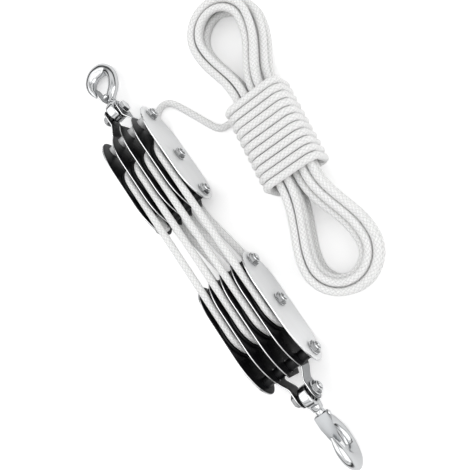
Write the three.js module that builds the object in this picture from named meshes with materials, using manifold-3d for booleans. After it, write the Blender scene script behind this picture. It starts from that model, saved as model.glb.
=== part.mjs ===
import * as THREE from 'three';
import { mergeVertices } from 'three/addons/utils/BufferGeometryUtils.js';
import Module from 'manifold-3d';

// A rope hoist: two blocks of four sheaves on one reeved rope, lying on the long edges of their
// plates, with the spare rope in a bound hank beside them.
// Millimetres. X runs along the axles, Y towards the upper hook, Z up from the floor.

const wasm = await Module();
wasm.setup();

// Fits
const touchGap = 0.3;
const sheaveSideGap = 0.5;
const grooveRoom = 0.6;
const cutOverrun = 1;

// Rope and reeving
const ropeDiameter = 6.4;
const ropeTurnRadius = 18;
const axleDistance = 154;
const sheaveCount = 4;
const deadEndTail = 9;
const leadWrapAngle = Math.PI / 4;

// Plates
const platePitch = 12.6;
const plateThickness = 1.6;
const plateHeight = 46;
const cheekHookReach = 57;
const cheekTailReach = 49;
const plateHookReach = 55;
const plateTailReach = 47;
const plateFlatHook = 19;
const plateFlatTail = 17;
const plateHookEndWidth = 21;
const plateTailEndWidth = 19;
const shoulderShare = 0.62;

// Ears that clamp the hook's eye
const earSpread = 7.4;
const earWidth = 17;
const joggleStart = 53;
const joggleEnd = 63;
const pinReach = 72;

// Sheaves
const sheaveRadius = 21;
const sheaveWidth = platePitch - plateThickness - 2 * sheaveSideGap;

// Bolts, nuts, sleeve and spacers
const hookBoltReach = 46.5;
const tailBoltReach = 39.6;
const boltRadius = 3;
const hexAcrossFlats = 10;
const headHeight = 4;
const nutHeight = 5;
const threadEnd = 1.2;
const sleeveRadius = 4.5;
const spacerRadius = 5;

// Swivel eye
const eyeThickness = 12;
const eyeWindowRadius = 5.8;
const eyeWall = 4;
const collarRadius = 5;
const collarEnd = 15;
const shankRadius = 2.4;
const shankHeadRadius = 3.5;
const shankHeadHeight = 1.9;

// Hook: each row holds its place across, its distance from the pin, its half width and its half
// thickness, all as shares of the reach from the pin to the bowl's end
const hookReach = 68;
const hookShares = [
  [0, 0.23, 0.056, 0.056],
  [0, 0.265, 0.062, 0.06],
  [-0.032, 0.335, 0.074, 0.065],
  [-0.118, 0.441, 0.082, 0.069],
  [-0.184, 0.618, 0.074, 0.071],
  [-0.154, 0.779, 0.076, 0.072],
  [-0.044, 0.897, 0.088, 0.074],
  [0.074, 0.916, 0.088, 0.074],
  [0.176, 0.824, 0.078, 0.071],
  [0.2, 0.699, 0.062, 0.062],
  [0.184, 0.588, 0.035, 0.038],
  [0.171, 0.544, 0.018, 0.021],
];
const hookSteps = 24;
const hookSides = 10;
const droopRounds = 40;

// Latch and its rivet
const latchPivotAcross = 0.6;
const latchPivotAlong = 21;
const latchSheet = 1;
const latchInnerHalf = 5;
const latchWebAcross = 4.4;
const latchWebEndAcross = 8.3;
const latchTop = 18.6;
const latchTip = 42.5;
const latchTipHalf = 3.2;
const latchEarEnd = 27.5;
const latchEarRadius = 2.9;
const rivetRadius = 1.4;
const rivetHeadRadius = 2.5;
const rivetHeadHeight = 0.9;

// Hank of spare rope
const hankX = 104;
const hankY = 29;
const hankLean = THREE.MathUtils.degToRad(-9);
const hankLoops = 8;
const hankTurnsPerLayer = 2;
const hankLayers = hankLoops / hankTurnsPerLayer;
const hankPitch = 7.5;
const hankLayerPitch = 7.1;
const hankFanRadius = 33;
const hankFanPlace = 106;
const hankWaistShare = 2.23;
const hankWaistHalf = hankWaistShare * hankPitch;
const hankFlareStart = 42;
const hankLiftEnd = 90;
const loopSteps = 24;
const woundSides = 6;

// Binding turns round the hank's waist
const bindingTurns = 11;
const bindingPitch = 7;
const bindingGap = 1;
const bindingCornerRadius = 8;

// Lead from the last upper sheave to the binding: points of its route, chosen by hand
const leadRoute = [
  [18.9, 104.5, 21],
  [18.95, 111.6, 14.2],
  [19.2, 118.2, 8.3],
  [21, 125.2, 4.4],
  [25.8, 131, 3.35],
  [33, 133.2, 3.25],
  [39.6, 130.6, 3.25],
  [44, 124.6, 3.25],
  [47.4, 116.8, 3.25],
  [51.2, 107.5, 3.25],
  [55, 98, 3.25],
  [58.5, 89, 3.25],
  [62, 81.2, 3.25],
  [66, 76.6, 3.25],
];
const leadSteps = 38;
const ropeSides = 8;

// Circle facets
const holeFacets = 12;
const shankFacets = 14;
const sheaveFacets = 20;
const grooveSteps = 4;
const arcSteps = 10;
const endArcSteps = 8;

const ropeRadius = ropeDiameter / 2;
const axleHeight = plateHeight / 2;
const upperY = axleDistance / 2;
const lowerY = -axleDistance / 2;
const cheekX = 2 * platePitch;
const fallTop = axleHeight + ropeTurnRadius;
const fallBottom = axleHeight - ropeTurnRadius;
const fallCut = upperY - cheekTailReach;
const fallShift = (platePitch - plateThickness) / 2 - ropeRadius - touchGap;
const eyeWindowPlace = eyeWindowRadius - boltRadius - touchGap;

const finishes = {
  cheek: { color: 0xc9c9c8, roughness: 0.38, metalness: 0.75 },
  plate: { color: 0x1b1b1c, roughness: 0.35, metalness: 0.55 },
  ear: { color: 0x8f9092, roughness: 0.3, metalness: 0.85 },
  sheave: { color: 0x101011, roughness: 0.42, metalness: 0 },
  hardware: { color: 0xc2c4c6, roughness: 0.25, metalness: 0.95 },
  chrome: { color: 0xd4d6d8, roughness: 0.15, metalness: 1 },
  latch: { color: 0xa9abad, roughness: 0.35, metalness: 0.9 },
  rope: { color: 0xe9e9e8, roughness: 0.85, metalness: 0 },
};

function finish(name) {
  return new THREE.MeshStandardMaterial(finishes[name]);
}

// Merged vertices with the faces turned outwards
function closed(geometry) {
  const bare = geometry.clone();
  bare.deleteAttribute('normal');
  bare.deleteAttribute('uv');
  const merged = mergeVertices(bare);
  const place = merged.getAttribute('position');
  const index = Array.from(merged.getIndex().array);
  const corner = (k) => new THREE.Vector3().fromBufferAttribute(place, index[k]);
  let volume = 0;
  for (let k = 0; k < index.length; k += 3) {
    volume += corner(k).dot(corner(k + 1).cross(corner(k + 2)));
  }
  if (volume < 0) {
    index.reverse();
  }
  merged.setIndex(index);
  return merged;
}

function solid(geometry) {
  const merged = closed(geometry);
  return new wasm.Manifold(new wasm.Mesh({
    numProp: 3,
    vertProperties: new Float32Array(merged.getAttribute('position').array),
    triVerts: new Uint32Array(merged.getIndex().array),
  }));
}

function fromSolid(body) {
  const mesh = body.getMesh();
  const geometry = new THREE.BufferGeometry();
  geometry.setAttribute('position', new THREE.BufferAttribute(mesh.vertProperties, 3));
  geometry.setIndex(new THREE.BufferAttribute(mesh.triVerts, 1));
  return geometry;
}

function addMesh(group, name, geometry, finishName) {
  const mesh = new THREE.Mesh(closed(geometry), finish(finishName));
  mesh.name = name;
  group.add(mesh);
  return mesh;
}

// An outline drawn in Y and Z, given a thickness along X and centred on x
function alongX(shape, thickness, x) {
  const geometry = new THREE.ExtrudeGeometry(shape, {
    depth: thickness,
    bevelEnabled: false,
    curveSegments: endArcSteps,
  });
  geometry.translate(0, 0, x - thickness / 2);
  const turn = new THREE.Matrix4().makeBasis(
    new THREE.Vector3(0, 1, 0),
    new THREE.Vector3(0, 0, 1),
    new THREE.Vector3(1, 0, 0),
  );
  return geometry.applyMatrix4(turn);
}

// A round or many-sided bar along X between two ends
function barAlongX(radius, from, to, facets, y) {
  const geometry = new THREE.CylinderGeometry(radius, radius, to - from, facets);
  geometry.rotateZ(-Math.PI / 2);
  geometry.translate((from + to) / 2, y, 0);
  return geometry;
}

function roundHole(radius, y) {
  const hole = new THREE.Path();
  for (let k = 0; k < holeFacets; k += 1) {
    const angle = (-2 * Math.PI * k) / holeFacets;
    const at = [y + radius * Math.cos(angle), radius * Math.sin(angle)];
    if (k === 0) {
      hole.moveTo(...at);
    } else {
      hole.lineTo(...at);
    }
  }
  hole.closePath();
  return hole;
}

function boltHoles(shape, hookEnd, axle, tailEnd) {
  shape.holes.push(roundHole(hookEnd, hookBoltReach));
  shape.holes.push(roundHole(axle, 0));
  shape.holes.push(roundHole(tailEnd, -tailBoltReach));
}

// Long oval with straight stretches that the block can lie on
function cheekShape() {
  const half = plateHeight / 2;
  const shape = new THREE.Shape();
  shape.moveTo(-plateFlatTail, -half);
  shape.lineTo(plateFlatHook, -half);
  shape.absellipse(plateFlatHook, 0, cheekHookReach - plateFlatHook, half, -Math.PI / 2, Math.PI / 2);
  shape.lineTo(-plateFlatTail, half);
  shape.absellipse(-plateFlatTail, 0, cheekTailReach - plateFlatTail, half, Math.PI / 2, Math.PI * 1.5);
  const bolt = boltRadius + touchGap;
  boltHoles(shape, bolt, bolt, bolt);
  return shape;
}

function tailOutline(shape) {
  const half = plateHeight / 2;
  const shoulder = THREE.MathUtils.lerp(plateFlatTail, plateTailReach, shoulderShare);
  shape.lineTo(-plateFlatTail, half);
  shape.quadraticCurveTo(-shoulder, half, -plateTailReach, plateTailEndWidth / 2);
  shape.lineTo(-plateTailReach, -plateTailEndWidth / 2);
  shape.quadraticCurveTo(-shoulder, -half, -plateFlatTail, -half);
}

function innerHoles(shape) {
  boltHoles(shape, spacerRadius + touchGap, sleeveRadius + touchGap, spacerRadius + touchGap);
}

// Middle plate with its ends cut square
function middleShape() {
  const half = plateHeight / 2;
  const shoulder = THREE.MathUtils.lerp(plateFlatHook, plateHookReach, shoulderShare);
  const shape = new THREE.Shape();
  shape.moveTo(plateFlatHook, -half);
  shape.quadraticCurveTo(shoulder, -half, plateHookReach, -plateHookEndWidth / 2);
  shape.lineTo(plateHookReach, plateHookEndWidth / 2);
  shape.quadraticCurveTo(shoulder, half, plateFlatHook, half);
  tailOutline(shape);
  innerHoles(shape);
  return shape;
}

// Plate that runs on past the block as an ear round the hook pin
function earShape() {
  const half = plateHeight / 2;
  const shoulder = THREE.MathUtils.lerp(plateFlatHook, joggleStart, shoulderShare);
  const shape = new THREE.Shape();
  shape.moveTo(plateFlatHook, -half);
  shape.quadraticCurveTo(shoulder, -half, joggleStart, -earWidth / 2);
  shape.lineTo(pinReach, -earWidth / 2);
  shape.absarc(pinReach, 0, earWidth / 2, -Math.PI / 2, Math.PI / 2);
  shape.lineTo(joggleStart, earWidth / 2);
  shape.quadraticCurveTo(shoulder, half, plateFlatHook, half);
  tailOutline(shape);
  innerHoles(shape);
  shape.holes.push(roundHole(boltRadius + touchGap, pinReach));
  return shape;
}

// The joggled sheet, seen along Z, that the ear plate is cut from
function joggledSheet(side) {
  const flat = side * platePitch;
  const ear = side * earSpread;
  const end = pinReach + earWidth;
  const half = plateThickness / 2;
  const line = [[flat, -cheekTailReach], [flat, joggleStart], [ear, joggleEnd], [ear, end]];
  const shape = new THREE.Shape();
  line.forEach(([x, y], k) => (k ? shape.lineTo(x + half, y) : shape.moveTo(x + half, y)));
  line.reverse().forEach(([x, y]) => shape.lineTo(x - half, y));
  const depth = plateHeight + 2 * cutOverrun;
  const geometry = new THREE.ExtrudeGeometry(shape, { depth, bevelEnabled: false });
  geometry.translate(0, 0, -depth / 2);
  return geometry;
}

function earPlate(side) {
  const outline = alongX(earShape(), 2 * platePitch, side * platePitch);
  return fromSolid(solid(joggledSheet(side)).intersect(solid(outline)));
}

// Grooved wheel turned about the axle
function sheaveGeometry() {
  const half = sheaveWidth / 2;
  const groove = ropeRadius + grooveRoom;
  const profile = [
    [sleeveRadius + touchGap, -half],
    [sheaveRadius, -half],
    [sheaveRadius, -groove],
  ];
  for (let k = 0; k <= grooveSteps; k += 1) {
    const angle = (Math.PI * k) / grooveSteps;
    profile.push([ropeTurnRadius - groove * Math.sin(angle), -groove * Math.cos(angle)]);
  }
  profile.push([sheaveRadius, groove]);
  profile.push([sheaveRadius, half]);
  profile.push([sleeveRadius + touchGap, half]);
  profile.push([sleeveRadius + touchGap, -half]);
  const points = profile.map(([r, x]) => new THREE.Vector2(r, x));
  const geometry = new THREE.LatheGeometry(points, sheaveFacets);
  geometry.rotateZ(-Math.PI / 2);
  return geometry;
}

function tubeAlongX(inner, outer, from, to, y) {
  const shape = new THREE.Shape();
  shape.absarc(y, 0, outer, 0, 2 * Math.PI);
  shape.holes.push(roundHole(inner, y));
  return alongX(shape, to - from, (from + to) / 2);
}

const hexRadius = hexAcrossFlats / Math.sqrt(3);

// Hex-headed bolt through plates whose outer faces lie at plus and minus grip; side is the head's side
function boltGeometry(grip, side, y) {
  const face = grip + touchGap;
  const end = face + nutHeight + threadEnd;
  const head = barAlongX(hexRadius, face, face + headHeight, 6, y);
  const shank = barAlongX(boltRadius, -end, face + headHeight / 2, shankFacets, y);
  const bolt = fromSolid(solid(head).add(solid(shank)));
  return side > 0 ? bolt : bolt.rotateZ(Math.PI).translate(0, 2 * y, 0);
}

function nutGeometry(grip, side, y) {
  const shape = new THREE.Shape();
  for (let k = 0; k < 6; k += 1) {
    const angle = (Math.PI * (2 * k + 1)) / 6;
    const at = [y + hexRadius * Math.cos(angle), hexRadius * Math.sin(angle)];
    if (k === 0) {
      shape.moveTo(...at);
    } else {
      shape.lineTo(...at);
    }
  }
  shape.closePath();
  shape.holes.push(roundHole(boltRadius + touchGap, y));
  return alongX(shape, nutHeight, side * (grip + touchGap + nutHeight / 2));
}

// A bar along Y, the hook's own length direction
function barAlongY(radius, from, to, facets) {
  const geometry = new THREE.CylinderGeometry(radius, radius, to - from, facets);
  geometry.translate(0, (from + to) / 2, 0);
  return geometry;
}

// Eye ring that hangs on the pin, with the collar that the hook's shank turns in
function eyeGeometry() {
  const outer = eyeWindowRadius + eyeWall;
  const ring = new THREE.Shape();
  ring.absarc(eyeWindowPlace, 0, outer, 0, 2 * Math.PI);
  ring.holes.push(roundHole(eyeWindowRadius, eyeWindowPlace));
  const collarStart = eyeWindowPlace + eyeWindowRadius + eyeWall / 4;
  const collar = barAlongY(collarRadius, collarStart, collarEnd, shankFacets);
  const bore = barAlongY(shankRadius + touchGap, eyeWindowPlace, collarEnd + cutOverrun, shankFacets);
  const body = solid(alongX(ring, eyeThickness, 0)).add(solid(collar)).subtract(solid(bore));
  return fromSolid(body);
}

// Joins rings of points into one closed tube; each ring runs the same way round
function ringsToGeometry(rings) {
  const sides = rings[0].length;
  const positions = rings.flat().flatMap((point) => point.toArray());
  const index = [];
  for (let r = 0; r + 1 < rings.length; r += 1) {
    for (let s = 0; s < sides; s += 1) {
      const a = r * sides + s;
      const b = r * sides + ((s + 1) % sides);
      index.push(a, b, b + sides);
      index.push(a, b + sides, a + sides);
    }
  }
  const last = (rings.length - 1) * sides;
  for (let s = 1; s + 1 < sides; s += 1) {
    index.push(0, s + 1, s);
    index.push(last, last + s, last + s + 1);
  }
  const geometry = new THREE.BufferGeometry();
  geometry.setAttribute('position', new THREE.Float32BufferAttribute(positions, 3));
  geometry.setIndex(index);
  return geometry;
}

// Tube of one radius through a list of points, with rings carried along without twist
function woundTube(points, radius, sides) {
  const count = points.length;
  const direction = (k) => {
    const before = points[Math.max(k - 1, 0)];
    const after = points[Math.min(k + 1, count - 1)];
    return after.clone().sub(before).normalize();
  };
  let tangent = direction(0);
  let across = new THREE.Vector3(0, 0, 1);
  if (Math.abs(tangent.z) > Math.SQRT1_2) {
    across = new THREE.Vector3(1, 0, 0);
  }
  across.addScaledVector(tangent, -across.dot(tangent)).normalize();
  const rings = points.map((point, k) => {
    const next = direction(k);
    const turn = new THREE.Quaternion().setFromUnitVectors(tangent, next);
    across.applyQuaternion(turn);
    tangent = next;
    const side = new THREE.Vector3().crossVectors(tangent, across);
    const ring = [];
    for (let s = 0; s < sides; s += 1) {
      const angle = (2 * Math.PI * (s + 0.5)) / sides;
      const spot = point.clone().addScaledVector(across, radius * Math.cos(angle));
      ring.push(spot.addScaledVector(side, radius * Math.sin(angle)));
    }
    return ring;
  });
  return ringsToGeometry(rings);
}

// Least gap between parts of a wound tube that lie more than a turn's share of length apart
function leastGap(points, diameter) {
  const far = 4 * diameter;
  let least = Infinity;
  const lengths = [0];
  for (let k = 1; k < points.length; k += 1) {
    lengths.push(lengths[k - 1] + points[k].distanceTo(points[k - 1]));
  }
  const nearest = new THREE.Vector3();
  for (let a = 0; a < points.length; a += 1) {
    for (let b = 1; b < points.length; b += 1) {
      if (Math.min(Math.abs(lengths[a] - lengths[b]), Math.abs(lengths[a] - lengths[b - 1])) > far) {
        new THREE.Line3(points[b - 1], points[b]).closestPointToPoint(points[a], true, nearest);
        least = Math.min(least, nearest.distanceTo(points[a]) - diameter);
      }
    }
  }
  return least;
}

// Hook body with an oval section that grows into the bowl and thins to the tip
function hookSweep() {
  const rows = hookShares.map((row) => row.map((share) => share * hookReach));
  const path = new THREE.CatmullRomCurve3(rows.map(([w, t]) => new THREE.Vector3(w, t, 0)));
  const sizes = new THREE.CatmullRomCurve3(rows.map(([, , a, b]) => new THREE.Vector3(a, b, 0)));
  const rings = [];
  for (let k = 0; k <= hookSteps; k += 1) {
    const share = k / hookSteps;
    const at = path.getPoint(share);
    const size = sizes.getPoint(share);
    const tangent = path.getTangent(share);
    const across = new THREE.Vector3(-tangent.y, tangent.x, 0);
    const ring = [];
    for (let s = 0; s < hookSides; s += 1) {
      const angle = (2 * Math.PI * (s + 0.5)) / hookSides;
      const spot = at.clone().addScaledVector(across, size.x * Math.cos(angle));
      spot.z = size.y * Math.sin(angle);
      ring.push(spot);
    }
    rings.push(ring);
  }
  return ringsToGeometry(rings);
}

const shankHeadTop = eyeWindowPlace
  + Math.sqrt(eyeWindowRadius ** 2 - shankHeadRadius ** 2) - touchGap;

function barAlongZ(radius, half, facets, x, y) {
  const geometry = new THREE.CylinderGeometry(radius, radius, 2 * half, facets);
  geometry.rotateX(Math.PI / 2);
  geometry.translate(x, y, 0);
  return geometry;
}

function hookGeometry() {
  const neckStart = hookShares[0][1] * hookReach;
  const shank = barAlongY(shankRadius, shankHeadTop - cutOverrun, neckStart + cutOverrun, shankFacets);
  const head = barAlongY(shankHeadRadius, shankHeadTop - shankHeadHeight, shankHeadTop, shankFacets);
  const hole = barAlongZ(rivetRadius + touchGap / 2, latchInnerHalf + cutOverrun, shankFacets,
    latchPivotAcross, latchPivotAlong);
  const body = solid(hookSweep()).add(solid(shank)).add(solid(head)).subtract(solid(hole));
  return fromSolid(body);
}

// Folded latch: a tapered web with two ears round the rivet
function latchGeometry() {
  const outerHalf = latchInnerHalf + latchSheet;
  const web = new THREE.Shape();
  web.moveTo(latchTop, -outerHalf);
  web.lineTo(latchEarEnd, -outerHalf);
  web.lineTo(latchTip, -latchTipHalf);
  web.lineTo(latchTip, latchTipHalf);
  web.lineTo(latchEarEnd, outerHalf);
  web.lineTo(latchTop, outerHalf);
  web.closePath();
  const sheet = new THREE.ExtrudeGeometry(web, { depth: latchSheet, bevelEnabled: false });
  const rise = (latchWebEndAcross - latchWebAcross) / (latchTip - latchTop);
  const toHook = new THREE.Matrix4().makeBasis(
    new THREE.Vector3(rise, 1, 0),
    new THREE.Vector3(0, 0, 1),
    new THREE.Vector3(1, 0, 0),
  );
  sheet.applyMatrix4(toHook);
  sheet.translate(latchWebAcross - rise * latchTop, 0, 0);
  const ear = new THREE.Shape();
  const webSide = latchWebAcross + latchSheet / 2;
  ear.moveTo(webSide, latchTop);
  ear.lineTo(webSide + rise * (latchEarEnd - latchTop), latchEarEnd);
  ear.lineTo(latchPivotAcross, latchPivotAlong + latchEarRadius);
  ear.absarc(latchPivotAcross, latchPivotAlong, latchEarRadius, Math.PI / 2, Math.PI * 1.5);
  ear.lineTo(webSide, latchTop);
  const depth = 2 * outerHalf;
  const ears = new THREE.ExtrudeGeometry(ear, { depth, bevelEnabled: false, curveSegments: endArcSteps });
  ears.translate(0, 0, -outerHalf);
  const inside = new THREE.BoxGeometry(latchWebAcross + pinReach, pinReach, 2 * latchInnerHalf);
  inside.translate((latchWebAcross - pinReach) / 2, latchPivotAlong, 0);
  const hole = barAlongZ(rivetRadius + touchGap, outerHalf + cutOverrun, shankFacets,
    latchPivotAcross, latchPivotAlong);
  const forked = solid(ears).subtract(solid(inside));
  return fromSolid(solid(sheet).add(forked).subtract(solid(hole)));
}

function rivetGeometry() {
  const face = latchInnerHalf + latchSheet + touchGap;
  const shaft = barAlongZ(rivetRadius, face + rivetHeadHeight / 2, shankFacets,
    latchPivotAcross, latchPivotAlong);
  let body = solid(shaft);
  for (const side of [1, -1]) {
    const head = barAlongZ(rivetHeadRadius, rivetHeadHeight / 2, shankFacets,
      latchPivotAcross, latchPivotAlong);
    head.translate(0, 0, side * (face + rivetHeadHeight / 2));
    body = body.add(solid(head));
  }
  return fromSolid(body);
}

function sheaveX(k) {
  return (k - (sheaveCount + 1) / 2) * platePitch;
}

// Eye, hook, latch and rivet on the pin; droop tips the hook down, swivel turns it in its collar
function addHook(block, name, droop, swivel) {
  const swing = new THREE.Group();
  swing.position.set(0, pinReach, 0);
  swing.rotation.x = droop;
  block.add(swing);
  addMesh(swing, `${name}_hook_eye`, eyeGeometry(), 'chrome');
  const turned = new THREE.Group();
  turned.rotation.y = swivel;
  swing.add(turned);
  addMesh(turned, `${name}_hook`, hookGeometry(), 'chrome');
  addMesh(turned, `${name}_hook_latch`, latchGeometry(), 'latch');
  addMesh(turned, `${name}_latch_rivet`, rivetGeometry(), 'hardware');
}

// Plates, sheaves and bolts of one block, its hook towards +Y
function addBlock(block, name, pinHeadSide) {
  const grip = cheekX + plateThickness / 2;
  const inside = cheekX - plateThickness / 2 - touchGap;
  addMesh(block, `${name}_cheek_left`, alongX(cheekShape(), plateThickness, -cheekX), 'cheek');
  addMesh(block, `${name}_plate_2`, earPlate(-1), 'ear');
  addMesh(block, `${name}_plate_3`, alongX(middleShape(), plateThickness, 0), 'plate');
  addMesh(block, `${name}_plate_4`, earPlate(1), 'ear');
  addMesh(block, `${name}_cheek_right`, alongX(cheekShape(), plateThickness, cheekX), 'cheek');
  for (let k = 1; k <= sheaveCount; k += 1) {
    const sheave = addMesh(block, `${name}_sheave_${k}`, sheaveGeometry(), 'sheave');
    sheave.position.x = sheaveX(k);
  }
  const stations = [
    ['hook_end', hookBoltReach, spacerRadius, 'spacer'],
    ['axle', 0, sleeveRadius, 'sleeve'],
    ['tail', -tailBoltReach, spacerRadius, 'spacer'],
  ];
  for (const [place, y, radius, tubeName] of stations) {
    const bore = boltRadius + touchGap;
    addMesh(block, `${name}_${place}_bolt`, boltGeometry(grip, -1, y), 'hardware');
    addMesh(block, `${name}_${place}_nut`, nutGeometry(grip, 1, y), 'hardware');
    addMesh(block, `${name}_${place}_${tubeName}`, tubeAlongX(bore, radius, -inside, inside, y), 'hardware');
  }
  const earGrip = earSpread + plateThickness / 2;
  addMesh(block, `${name}_hook_pin`, boltGeometry(earGrip, pinHeadSide, pinReach), 'hardware');
  addMesh(block, `${name}_hook_pin_nut`, nutGeometry(earGrip, -pinHeadSide, pinReach), 'hardware');
}

// Points round a circle in the plane of a sheave: 0 is the top, and side is the hook's way along Y
function turnPoints(x, y, radius, from, to, side) {
  const points = [];
  for (let k = 0; k <= arcSteps; k += 1) {
    const angle = THREE.MathUtils.lerp(from, to, k / arcSteps);
    const along = side * radius * Math.sin(angle);
    points.push(new THREE.Vector3(x, y + along, axleHeight + radius * Math.cos(angle)));
  }
  return points;
}

function upperTurn(k) {
  const x = sheaveX(k);
  const start = new THREE.Vector3(x, fallCut, fallTop);
  if (k === sheaveCount) {
    return [start, ...turnPoints(x, upperY, ropeTurnRadius, 0, leadWrapAngle, 1)];
  }
  return [
    start,
    ...turnPoints(x, upperY, ropeTurnRadius, 0, Math.PI, 1),
    new THREE.Vector3(x + fallShift, fallCut + ropeRadius, fallBottom),
    new THREE.Vector3(x + fallShift, fallCut, fallBottom),
  ];
}

// The dead end loops round the upper tail spacer
const anchorY = upperY - tailBoltReach;
const anchorRadius = spacerRadius + touchGap + ropeRadius;

function deadEndHeight(y) {
  const share = (y - lowerY) / (anchorY - lowerY);
  return THREE.MathUtils.lerp(fallBottom, axleHeight - anchorRadius, share);
}

function deadEnd() {
  const x = sheaveX(1);
  return [
    new THREE.Vector3(x, fallCut, deadEndHeight(fallCut)),
    ...turnPoints(x, anchorY, anchorRadius, Math.PI, 0, 1),
    new THREE.Vector3(x, anchorY - deadEndTail, axleHeight + anchorRadius),
  ];
}

function lowerTurn(k) {
  const x = sheaveX(k);
  const cut = fallCut - touchGap;
  const points = [
    new THREE.Vector3(x, cut, fallTop),
    ...turnPoints(x, lowerY, ropeTurnRadius, 0, Math.PI, -1),
  ];
  if (k === 1) {
    points.push(new THREE.Vector3(x, cut, deadEndHeight(cut)));
    return points;
  }
  const above = sheaveX(k - 1) + fallShift;
  points.push(new THREE.Vector3(x - fallShift, lowerY + cheekTailReach, fallBottom));
  points.push(new THREE.Vector3(above, cut - ropeRadius, fallBottom));
  points.push(new THREE.Vector3(above, cut, fallBottom));
  return points;
}

// Half width of the outermost loop at a distance from the waist
function hankHalfWidth(along) {
  const flare = (Math.abs(along) - hankFlareStart) / (hankFanPlace - hankFlareStart);
  const share = THREE.MathUtils.clamp(flare, 0, 1);
  return THREE.MathUtils.lerp(hankWaistHalf, hankFanRadius, (1 - Math.cos(Math.PI * share)) / 2);
}

function smoothShare(value, from, to) {
  return THREE.MathUtils.smoothstep(value, from, to);
}

// Distance from the waist's middle along a run, from the share of the half run that is done; the
// first third of it is the straight waist
function runPlace(share) {
  const third = 1 / 3;
  if (share < third) {
    return (hankFlareStart * share) / third;
  }
  return THREE.MathUtils.mapLinear(share, third, 1, hankFlareStart, hankFanPlace);
}

// A point of the hank's own plan, leant and moved to its place
function placedHank(across, along, height) {
  const plan = new THREE.Vector2(across, along).rotateAround(new THREE.Vector2(), hankLean);
  return new THREE.Vector3(hankX + plan.x, hankY + plan.y, height);
}

// A point of the hank: whole turns lie at the waist of the right-hand run
function hankPoint(turn) {
  const period = 2 * hankTurnsPerLayer;
  const phase = turn % period;
  const inward = hankPitch * (phase < hankTurnsPerLayer ? phase : period - phase);
  let layer = 0;
  for (let k = 1; k < hankLayers; k += 1) {
    const change = k * hankTurnsPerLayer;
    layer += THREE.MathUtils.clamp((turn - change) * 2 + 0.5, 0, 1);
  }
  const eighth = (turn % 1) * 8;
  let across;
  let along;
  if (eighth < 1 || eighth > 7) {
    along = eighth < 1 ? runPlace(eighth) : -runPlace(8 - eighth);
    across = hankHalfWidth(along) - inward;
  } else if (eighth >= 3 && eighth <= 5) {
    along = eighth < 4 ? runPlace(4 - eighth) : -runPlace(eighth - 4);
    across = -hankHalfWidth(along) + inward;
  } else {
    const end = eighth < 3 ? 1 : -1;
    const middle = eighth < 3 ? 2 : 6;
    const angle = ((eighth - middle) * Math.PI) / 2;
    along = end * (hankFanPlace + (hankFanRadius - inward) * Math.cos(angle));
    across = -end * (hankFanRadius - inward) * Math.sin(angle);
  }
  const lift = (ropeDiameter + bindingGap) * (1 - smoothShare(Math.abs(along), hankFlareStart, hankLiftEnd));
  const height = ropeRadius + touchGap + lift + layer * hankLayerPitch;
  return placedHank(across, along, height);
}

function hankPoints() {
  const points = [];
  for (let k = 0; k <= hankLoops * loopSteps; k += 1) {
    points.push(hankPoint(k / loopSteps));
  }
  return points;
}

// The binding's section is a rounded box round the waist; a turn starts under its middle, going
// away from the blocks, and a share below 0 runs straight back towards them
function bindingPoint(turn) {
  const bottom = ropeRadius + touchGap;
  const stack = (hankLayers - 1) * hankLayerPitch;
  const height = stack / 2 + ropeDiameter + bindingGap;
  const corner = bindingCornerRadius;
  const flatX = hankWaistHalf + ropeDiameter + bindingGap - corner;
  const flatZ = height - corner;
  const arc = (Math.PI / 2) * corner;
  const round = 4 * (flatX + flatZ + arc);
  const stretches = [flatX, arc, 2 * flatZ, arc, 2 * flatX, arc, 2 * flatZ, arc, flatX];
  const along = bindingPitch * (bindingTurns / 2 - turn);
  if (turn < 0) {
    return placedHank(turn * round, along, bottom);
  }
  let left = (turn % 1) * round;
  const spot = new THREE.Vector2(0, -height);
  let heading = 0;
  stretches.forEach((length, k) => {
    const gone = Math.min(left, length);
    left -= gone;
    if (k % 2) {
      const toCentre = new THREE.Vector2(-Math.sin(heading), Math.cos(heading));
      spot.rotateAround(toCentre.multiplyScalar(corner).add(spot), gone / corner);
      heading += gone / corner;
    } else {
      spot.add(new THREE.Vector2(Math.cos(heading), Math.sin(heading)).multiplyScalar(gone));
    }
  });
  return placedHank(spot.x, along, bottom + height + spot.y);
}

// Shares of a turn that the binding runs straight before its first turn
const bindingStartShares = [-0.22, -0.18, -0.09];

function bindingPoints() {
  const points = bindingStartShares.map(bindingPoint);
  for (let k = 0; k <= bindingTurns * loopSteps; k += 1) {
    points.push(bindingPoint(k / loopSteps));
  }
  return points;
}

function leadGeometry() {
  const leaves = upperTurn(sheaveCount).at(-1);
  const heading = new THREE.Vector3(0, Math.cos(leadWrapAngle), -Math.sin(leadWrapAngle));
  const [meets, next] = bindingPoints();
  const into = next.clone().sub(meets).normalize();
  const path = new THREE.CatmullRomCurve3([
    leaves.clone().addScaledVector(heading, touchGap),
    leaves.clone().addScaledVector(heading, ropeDiameter),
    ...leadRoute.map((at) => new THREE.Vector3(...at)),
    meets.clone().addScaledVector(into, -ropeDiameter),
    meets.clone().addScaledVector(into, -touchGap),
  ]);
  const section = new THREE.Shape();
  for (let s = 0; s < ropeSides; s += 1) {
    const angle = (2 * Math.PI * (s + 0.5)) / ropeSides;
    const at = [ropeRadius * Math.cos(angle), ropeRadius * Math.sin(angle)];
    if (s === 0) {
      section.moveTo(...at);
    } else {
      section.lineTo(...at);
    }
  }
  section.closePath();
  return new THREE.ExtrudeGeometry(section, { steps: leadSteps, extrudePath: path });
}

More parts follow.
